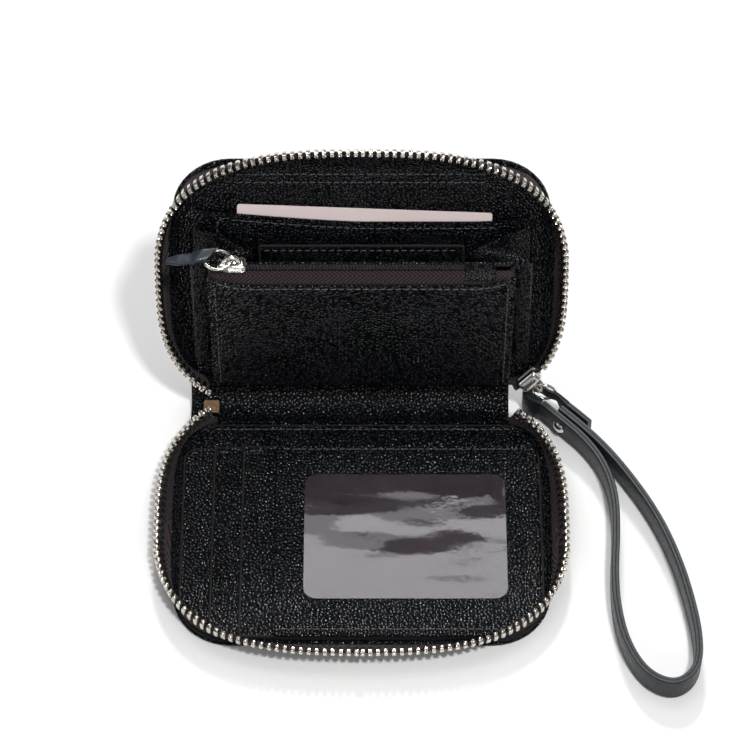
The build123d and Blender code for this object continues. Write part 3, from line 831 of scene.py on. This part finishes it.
def gusset(side, name):
    """Bellows side: two leaves that meet in an inward fold; the rear leaf rises at its outer edge."""
    rings = []
    for k in range(15):
        share = k / 14
        v = 13.0 + 49.5 * share
        tip = 54.5 - 20.5 * share
        front_w = 8.0 + 10.9 * share
        middle = (5.7 + front_w) / 2
        mid_x = 52.0 - 1.5 * share
        section = [
            (57.5, 5.5, 1.0), (mid_x, 5.6 + share, 0.8), (tip + 1.5, middle - 0.45, 0.05), (tip, middle, 0.0),
            (tip + 1.5, middle + 0.45, 0.0), (mid_x, front_w - share, 0.0), (57.5, front_w, 0.0),
            (57.5, front_w - 0.6, 0.0), (51.5, front_w - 0.7 - share, 0.0), (tip + 2.6, middle, 0.0),
            (51.5, 6.2 + share, 0.8), (57.5, 6.1, 1.0),
        ]
        rings.append([back_at(side * x, v + 7.5 * share * lift, w) for x, w, lift in section])
    obj = solid(name, rings, FINE, 50)
    level = obj.modifiers.new("soft folds", "SUBSURF")
    level.levels = 1
    level.render_levels = 1
    return bend(obj, name)


def divider():
    """Leather leaf between the two note compartments."""
    corners = box_corners(-34.5, 34.5, 3, 62)
    obj = slab("note_divider", corners, [1] * 4, -0.4, 0.3, divider_at, LEATHER, 0.25, 2.3)
    own(obj, "divider", "pebble_leather", "purse_divider")
    line = [divider_at(x, 59.7, 0.1) for x in range(-33, 34, 2)]
    stitches("divider_stitch", line, facing(divider_at), "divider")


# ---- coin purse ----
def front_wall_q(p):
    """How far forward the purse's front wall stands at a height."""
    return WALL + 0.5 + (PURSE_DEPTH - 2 * WALL - 0.5) * p / PURSE_HEIGHT


def purse_edge(x):
    """Top edge of the purse's front wall, which stands up at both ends."""
    return PURSE_TOP - 2.4 + 5.0 * (max(0.0, abs(x) - 37) / 14) ** 2


def purse_wall(name, top_at, q_at, node, belly):
    """Leather wall of the purse, slightly full in the middle."""
    half = PURSE_HALF
    foot = 2.6
    across = 36
    down = 16
    rings = []
    outline = [(k / down, 1.0) for k in range(down + 1)]
    outline += [(1.0, 0.5)]
    outline += [(1 - k / down, 0.0) for k in range(down + 1)]
    for share, side in outline:
        ring = []
        for i in range(across + 1):
            x = -half + 2 * half * i / across
            p = foot + (top_at(x) - foot) * share
            full = belly * math.sin(math.pi * share) * math.cos(math.pi * x / (2.2 * half))
            soft = 0.25 if side == 0.5 else 0.0
            ring.append(purse_at(x, p + soft, q_at(p) + WALL * side + full))
        rings.append(ring)
    points, faces = skin(rings, closed=False, caps=False, wrap=True)
    sides = [tuple(r * (across + 1) + end for r in range(len(rings))) for end in (0, across)]
    obj = mesh_object(name, points, faces + sides, LEATHER)
    return own(obj, "coin_purse", "pebble_leather", node)


def purse_strip(name, corners, low, high, material, slot, node, edge=0.15):
    """Strip along the top of the purse, laid out in x and q."""
    rings = []
    for inset, p in ((edge, low), (0.0, low + edge), (0.0, high - edge), (edge, high)):
        rings.append([purse_at(c.x, p, c.y) for c in rounded(corners, [0.4] * 4, inset, 4, 12)])
    obj = solid(name, rings, material)
    flat = [(c.x, c.y) for _ in range(4) for c in rounded(corners, [0.4] * 4, 0.0, 4, 12)]
    set_uv(obj, flat)
    return own(obj, "coin_purse", slot, node)


def purse_front_tape():
    """Front half of the purse's tape, bent down behind the front wall."""
    upper = [(4.5, 61.1), (6.6, 61.05), (7.8, 60.6), (8.25, 59.4), (8.1, 57.5), (7.85, 55.5)]
    lower = [(7.35, 55.5), (7.6, 57.5), (7.7, 59.1), (7.4, 59.95), (6.4, 60.5), (4.5, 60.5)]
    rings = []
    places = []
    across = 50
    for i in range(across + 1):
        x = TAPE_LEFT + (TAPE_RIGHT - TAPE_LEFT) * i / across
        rings.append([purse_at(x, p, q) for q, p in upper + lower])
        places += [(x, q - p) for q, p in upper + lower]
    obj = solid("purse_front_tape", rings, TAPE, 60)
    set_uv(obj, places)
    return own(obj, "coin_purse", "zip_fabric", "purse_tape_front")


def coil_template(turn):
    """One loop of nylon coil, leaning the way its side does."""
    rings = []
    steps = 12
    for k in range(steps + 1):
        a = math.tau * k / steps
        centre = Vector((1.1 * (k / steps - 0.5) * turn, 0.62 * math.cos(a), 0.42 * math.sin(a)))
        out = Vector((0, math.cos(a), math.sin(a)))
        rings.append([centre + Vector((1, 0, 0)) * 0.24 * math.cos(t) + out * 0.24 * math.sin(t)
                      for t in turns(6)])
    return skin(rings, caps=False)


def coil(name, q, turn, node):
    """Row of coil loops with their sewing thread over the middle."""
    template = coil_template(turn)
    places = []
    count = 75
    origin = purse_at(0, 0, 0)
    x_axis = purse_at(1, 0, 0) - origin
    up = purse_at(0, 1, 0) - origin
    for i in range(count):
        x = COIL_LEFT + COIL_LENGTH * (i + 0.5) / count
        places.append(basis(purse_at(x, PURSE_TOP + 0.95, q), x_axis, up))
    obj = stamp(name, template, places, COIL, 60)
    return own(obj, "coin_purse", "coil_nylon", node)


def purse_side(side, name):
    """Side of the purse, folded inward down its middle."""
    rings = []
    for k in range(13):
        p = 6.0 + 54.2 * k / 12
        q_low = WALL + 0.5
        q_high = front_wall_q(p) + 0.2
        middle = (q_low + q_high) / 2
        fold = PURSE_HALF - 0.35 - (q_high - q_low) * 0.28
        section = [(PURSE_HALF, q_low), (fold, middle), (PURSE_HALF, q_high), (PURSE_HALF - 0.7, q_high),
                   (fold - 0.8, middle), (PURSE_HALF - 0.7, q_low)]
        rings.append([purse_at(side * x, p, q) for x, q in section])
    own(solid(name + "_fold", rings, FINE), "coin_purse", "pebble_leather", name)


def purse():
    """Walls, sides, zip and stitching of the coin purse."""
    purse_wall("purse_front", purse_edge, front_wall_q, "purse_front_panel", 0.7)
    purse_wall("purse_rear", lambda x: PURSE_TOP + 0.6, lambda p: 0.4, "purse_back_panel", 0.0)
    purse_side(-1, "purse_side_left")
    purse_side(1, "purse_side_right")
    low = PURSE_TOP
    corners = box_corners(TAPE_LEFT, TAPE_RIGHT, WALL + 0.45, COIL_Q - 1.2)
    purse_strip("purse_rear_tape", corners, low, low + 0.6, TAPE, "zip_fabric", "purse_tape_back")
    purse_front_tape()
    coil("rear_coil", COIL_Q - 0.62, 1, "purse_coil_back")
    coil("front_coil", COIL_Q + 0.62, -1, "purse_coil_front")
    corners = box_corners(34.5, 44.5, 1.6, 9.2)
    low += 0.5
    purse_strip("zip_end_leather", corners, low, low + 1.0, FINE, "pebble_leather", "purse_end_patch", 0.3)
    up = facing(purse_at)
    spots = [(x, purse_edge(x) - 1.1) for x in range(-48, 49, 2)]
    line = [purse_at(x, p, front_wall_q(p) + WALL + 0.1) for x, p in spots]
    stitches("purse_stitch", line, up, "coin_purse")
    for side in (-1, 1):
        line = [purse_at(side * 48.6, p, front_wall_q(p) + WALL + 0.05) for p in range(4, 59, 2)]
        stitches(f"purse_side_stitch_{side + 1}", line, up, "coin_purse")


# ---- metal ----
def wire_ring(name, centre, axis, radius, wire, body, node):
    """Ring of round wire about an axis."""
    side = axis.orthogonal().normalized()
    other = axis.normalized().cross(side)
    rings = []
    for a in turns(64):
        out = side * math.cos(a) + other * math.sin(a)
        middle = centre + out * radius * MM
        rings.append([middle + (out * math.cos(t) + axis.normalized() * math.sin(t)) * wire * MM
                      for t in turns(14)])
    return own(solid(name, rings, BRIGHT, 80, wrap=True), body, "nickel_metal", node)


def polish(node, material):
    """Finish for a metal part whose shape is already right."""
    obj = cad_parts[node]
    obj.data.materials.clear()
    obj.data.materials.append(material)
    return obj


def plate(name, outline, radius, rows, place, body, node):
    """Cast metal block: a rounded outline drawn in and out over its height."""
    rings = []
    for inset, height in rows:
        corners = rounded(outline, [radius] * len(outline), inset, 5, 3)
        rings.append([place(c.x, c.y, height) for c in corners])
    return own(solid(name, rings, BRIGHT, 50), body, "nickel_metal", node)


def coin_hardware():
    """Coin slider with its round loop, and the ring through it."""
    half = [(-4.7, 1.7), (-1.2, 2.8), (3.3, 2.9), (4.7, 2.3)]
    outline = [(x, -q) for x, q in half] + half[::-1]
    rows = [(0.3, 61.3), (0.0, 61.5), (0.0, 61.9), (0.35, 62.1), (0.5, 62.5), (0.3, 62.8), (0.0, 63.0),
            (0.05, 63.35), (0.5, 63.7), (1.3, 63.85)]

    def place(x, q, p):
        """Point of the coin slider, from the middle of the coil."""
        return purse_at(SLIDER_X + x, p, COIL_Q + q)

    plate("coin_slider", outline, 0.7, rows, place, "coin_slider", "coin_slider_body")
    rings = []
    for k in range(25):
        a = math.pi * k / 24
        ring = []
        for t in turns(12):
            out = 2.75 + 0.55 * math.cos(t)
            ring.append(place(out * math.cos(a), 0.95 * math.sin(t), 63.45 + out * math.sin(a)))
        rings.append(ring)
    loop = solid("coin_slider_loop", rings, BRIGHT, 80)
    own(loop, "coin_slider", "nickel_metal", "coin_slider_bridge")
    axis = purse_at(0, 1, 0) - purse_at(0, 0, 0)
    centre = purse_at(SLIDER_X - PULL_RING_RADIUS, RING_P, COIL_Q)
    wire_ring("pull_ring", centre, axis, PULL_RING_RADIUS, 0.5, "coin_ring", "coin_pull_ring")


def pull_tab():
    """Leather tongue folded round the ring, twisting and thinning as it runs out."""
    line = [(-49.4, 65.7, 1.6), (-53.2, 65.8, 2.6), (-56.5, 65.4, 3.2), (-60.5, 65, 3.5), (-64.5, 64.2, 3.2)]
    wide = [(0.66, 0.35, -0.66), (0.5, 0.3, -0.8), (0.1, 0.0, -1.0), (0.0, 0.05, -1.0), (0.15, -0.2, -0.96)]
    sizes = [(3.5, 1.9), (3.1, 1.6), (2.2, 0.75), (2.3, 0.55), (1.5, 0.5)]
    rings = []
    steps = 24
    spans = len(line) - 1
    for k in range(steps + 1):
        spot = spans * k / steps
        i = min(int(spot), spans - 1)
        share = spot - i
        share = share * share * (3 - 2 * share)
        x, p, q = Vector(line[i]).lerp(Vector(line[i + 1]), spot - i)
        across = Vector(wide[i]).lerp(Vector(wide[i + 1]), share).normalized()
        run = (Vector(line[i + 1]) - Vector(line[i])).normalized()
        up = run.cross(across).normalized()
        half, thick = Vector(sizes[i]).lerp(Vector(sizes[i + 1]), share)
        thick *= 0.62 if k == 0 else 1.0
        ring = []
        for a in rounded(box_corners(-half, half, -thick, thick), [0.75 * thick] * 4, 0, 3, 3):
            spread = across * a.x + up * a.y
            ring.append(purse_at(x + spread.x, p + spread.y, q + spread.z))
        rings.append(ring)
    own(solid("pull_tab", rings, TAB), "coin_tab", "strap_leather", "coin_pull_tab")


def main_hardware():
    """Main slider, its bridge and the ring that holds the strap."""
    here = zip_point(ZIP_TOP, MAIN_SLIDER_ANGLE)
    ahead = zip_point(ZIP_TOP, MAIN_SLIDER_ANGLE + math.radians(1))
    foot = back_at(here.x, here.y, MAIN_SLIDER_W)
    m = basis(foot, back_at(ahead.x, ahead.y, MAIN_SLIDER_W) - foot, facing(back_at))
    rows = [(0.5, 0.0), (0.0, 0.4), (0.0, 1.7), (0.5, 2.0), (0.5, 2.7), (0.0, 3.0), (0.0, 3.9), (0.3, 4.6),
            (1.0, 5.0), (1.9, 5.1)]
    corners = box_corners(-4.3, 4.3, -2.5, 2.5)
    plate("main_slider", corners, 1.6, rows, lambda *p: m @ Vector(p), "back_half", "main_slider_body")
    polish("main_slider_bridge", BRIGHT)
    axis = Vector((0.12, 0.99, 0.03))
    wire_ring("strap_link", table_at(*STRAP_RING_CENTRE), axis, 4.2, 0.55, "ring", "strap_ring")


# ---- wrist strap ----
STRAP_ROUTE = [
    (62.6, 46.6), (68.9, 40.3), (76.6, 32.4), (82.9, 22.2), (86.2, 9.5), (86.0, -6.0), (84.7, -20.5),
    (84.9, -35.0), (87.6, -49.0), (93.8, -60.2), (103.4, -64.2), (110.8, -57.4), (111.6, -45.0),
    (109.4, -30.0), (106.6, -17.5), (101.9, -3.0), (95.2, 10.8), (85.4, 26.4), (75.6, 37.9), (68.6, 44.6),
]
TAIL_ROUTE = [(69.2, 48.3), (74.0, 43.9), (78.6, 39.0)]
FOLD_ROUTE = [(62.3, 46.9), (56.6, 49.4), (57, 53.2), (60.9, 53.5), (65, 50.2), (68.4, 48.9), (71.4, 46.3)]


def smooth_route(points, height):
    """Points read from one smooth spline through the strap's route."""
    curve = bpy.data.curves.new("route", "CURVE")
    curve.dimensions = "3D"
    spline = curve.splines.new("NURBS")
    spline.points.add(len(points) - 1)
    for target, (x, y) in zip(spline.points, points):
        target.co = (x * MM, y * MM, height * MM, 1.0)
    spline.order_u = 3
    spline.use_endpoint_u = True
    spline.resolution_u = 12
    holder = bpy.data.objects.new("route", curve)
    mesh = bpy.data.meshes.new_from_object(holder)
    line = [v.co.copy() for v in mesh.vertices]
    bpy.data.objects.remove(holder)
    bpy.data.meshes.remove(mesh)
    return line


def strap_profile(half_thick, half_wide):
    """Section of the strap: two layers, an edge seam and two creased lines on each face."""
    t = half_thick
    h = half_wide
    creases = [(t, -3.3), (t - 0.22, -3.05), (t, -2.8), (t, 2.8), (t - 0.22, 3.05), (t, 3.3)]
    side = [(t, -h + 0.5)] + creases + [(t, h - 0.5)]
    top = [(t - 0.3, h), (0.22, h), (0.0, h - 0.22), (-0.22, h), (-t + 0.3, h)]
    return side + top + [(-a, b) for a, b in reversed(side)] + [(a, -b) for a, b in reversed(top)]


def swept_strap(name, line, half_thick, half_wide):
    """Flat strap standing on its edge along a line."""
    rings = []
    profile = strap_profile(half_thick, half_wide)
    for i, p in enumerate(line):
        step = line[min(i + 1, len(line) - 1)] - line[max(i - 1, 0)]
        side = Vector((step.y, -step.x, 0)).normalized()
        rings.append([p + side * a * MM + Vector((0, 0, b * MM)) for a, b in profile])
    obj = solid(name, rings, STRAP, 28)
    obj.data.materials.append(EDGE)
    for face in obj.data.polygons:
        if abs(face.normal.z) > 0.6:
            face.material_index = 1
    return obj


def wrist_strap():
    """The strap's loop, its folded tail, the narrow neck round the ring and the rivet."""
    height = STRAP_LIFT + STRAP_WIDTH / 2
    line = smooth_route(STRAP_ROUTE, height)
    strap = swept_strap("strap_loop", line, STRAP_THICK / 2, STRAP_WIDTH / 2)
    tail = swept_strap("strap_end", smooth_route(TAIL_ROUTE, height), 1.0, STRAP_WIDTH / 2 - 0.4)
    neck = strap_fold()
    own(tail, "front_half", "strap_leather", "strap_tail")
    bend(neck, "strap_neck")
    rivet = rivet_cap()
    own(strap, "front_half", "strap_leather", "wrist_strap")
    polish("rivet_post", NICKEL)
    tuple(line[0])


def strap_fold():
    """The strap narrows, folds round the ring and widens again into its tail."""
    line = smooth_route(FOLD_ROUTE, 0)
    rings = []
    last = len(line) - 1
    for i, p in enumerate(line):
        share = i / last
        step = line[min(i + 1, last)] - line[max(i - 1, 0)]
        side = Vector((step.y, -step.x, 0)).normalized()
        before = min(max((0.50 - share) / 0.34, 0.0), 1.0)
        after = min(max((share - 0.86) / 0.14, 0.0), 1.0)
        open_share = max(before, after)
        middle = 9.8 - 4.55 * open_share
        half = 2.0 + (3.0 if before > 0 else 2.6) * open_share
        thick = 0.62 + 0.6 * before * before + 0.3 * after
        section = rounded(box_corners(-thick, thick, -half, half), [0.4] * 4, 0, 3, 2)
        rings.append([p + side * a.x * MM + Vector((0, 0, (middle + a.y) * MM)) for a in section])
    return solid("strap_fold", rings, STRAP)


def rivet_cap():
    """Domed rivet cap with a thin flange."""
    out = Vector(RIVET_DIRECTION).normalized()
    up = Vector((0, 0, 1))
    side = up.cross(out)
    centre = table_at(*RIVET_AT, STRAP_LIFT + STRAP_WIDTH / 2)
    rings = []
    for r, d in ((2.3, 1.27), (2.42, 1.36), (2.36, 1.5), (2.1, 1.62), (1.95, 1.85), (1.5, 2.18), (0.95, 2.36),
                 (0.4, 2.44)):
        rings.append([centre + (side * math.cos(a) + up * math.sin(a)) * r * MM + out * d * MM
                      for a in turns(40)])
    return own(solid("rivet_dome", rings, BRIGHT, 70), "front_half", "nickel_metal", "rivet_cap")


# ---- studio ----
def studio():
    """Pale floor, a key from the front right, a soft overhead light, a rear light and three fills."""
    bpy.ops.mesh.primitive_plane_add(size=6, location=(0, 0, -0.0002))
    floor = bpy.context.object
    floor.name = "studio_floor"
    n = Nodes("studio floor")
    tone = n.noise(n.place(), 4.0, 2.0)
    shade = n.mix(tone, rgb(0.90, 0.90, 0.89), rgb(0.92, 0.92, 0.92))
    n.set(Base_Color=shade, Roughness=0.9, Specular_IOR_Level=0.1)
    floor.data.materials.append(n.material)
    world = bpy.data.worlds.new("studio")
    world.use_nodes = True
    sky = world.node_tree.nodes["Background"].inputs
    sky["Color"].default_value = rgb(0.97, 0.98, 1.0)
    sky["Strength"].default_value = 0.16
    bpy.context.scene.world = world
    area("key", (0.22, -0.33, 1.0), 1.5, (0.14, 0.14), 11.5)
    area("overhead", (0.0, 0.34, 1.0), 1.35, (0.9, 0.62), 3.6)
    area("rear", (0.0, 1.0, 0.93), 1.5, (0.2, 0.14), 10.0)
    area("front", (0.0, -1.0, 0.6), 1.5, (0.6, 0.3), 3.0)
    area("left", (-1.0, -0.2, 0.5), 1.4, (0.5, 0.9), 1.4)
    area("right", (1.0, -0.1, 0.5), 1.4, (0.5, 0.9), 1.4)


def area(name, direction, distance, size, power):
    """Rectangular light aimed at the wallet."""
    light = bpy.data.lights.new(name, "AREA")
    light.shape = "RECTANGLE"
    light.size = size[0]
    light.size_y = size[1]
    light.energy = power
    obj = bpy.data.objects.new(name, light)
    bpy.context.collection.objects.link(obj)
    way = Vector(direction).normalized()
    obj.location = way * distance
    obj.rotation_euler = way.to_track_quat("Z", "Y").to_euler()


def camera():
    """Camera above the front edge, looking down at the open wallet."""
    data = bpy.data.cameras.new("camera")
    data.lens = 152.6
    data.sensor_width = 36.0
    obj = bpy.data.objects.new("camera", data)
    bpy.context.collection.objects.link(obj)
    obj.location = (0.0045, -0.569, 0.9225)
    target = Vector((0.0045, 0.054, 0.016))
    obj.rotation_euler = (target - obj.location).to_track_quat("-Z", "Y").to_euler()
    bpy.context.scene.camera = obj


def colours():
    """Plain display colours, so that white stays white."""
    bpy.context.scene.view_settings.view_transform = "Standard"
    bpy.context.scene.view_settings.look = "None"


def build():
    """Every piece in turn, then the studio round it."""
    for half, at in HALVES:
        cover(half, at)
        lining(half, at)
        zip_tape(half, at)
        zip_teeth(half, at)
        polish(f"{half}_board", BOARD)
    floor_row("back", back_at, 86.2, 2.46, 42, "back_lining_edge_stitch")
    floor_row("back", back_at, 83.0, 2.46, 42, "back_lining_stitch")
    front_pockets()
    identity_pocket()
    spine()
    slip_pocket()
    spare_card()
    gusset(-1, "gusset_left")
    gusset(1, "gusset_right")
    divider()
    purse()
    coin_hardware()
    pull_tab()
    main_hardware()
    wrist_strap()
    studio()
    camera()
    colours()


build()
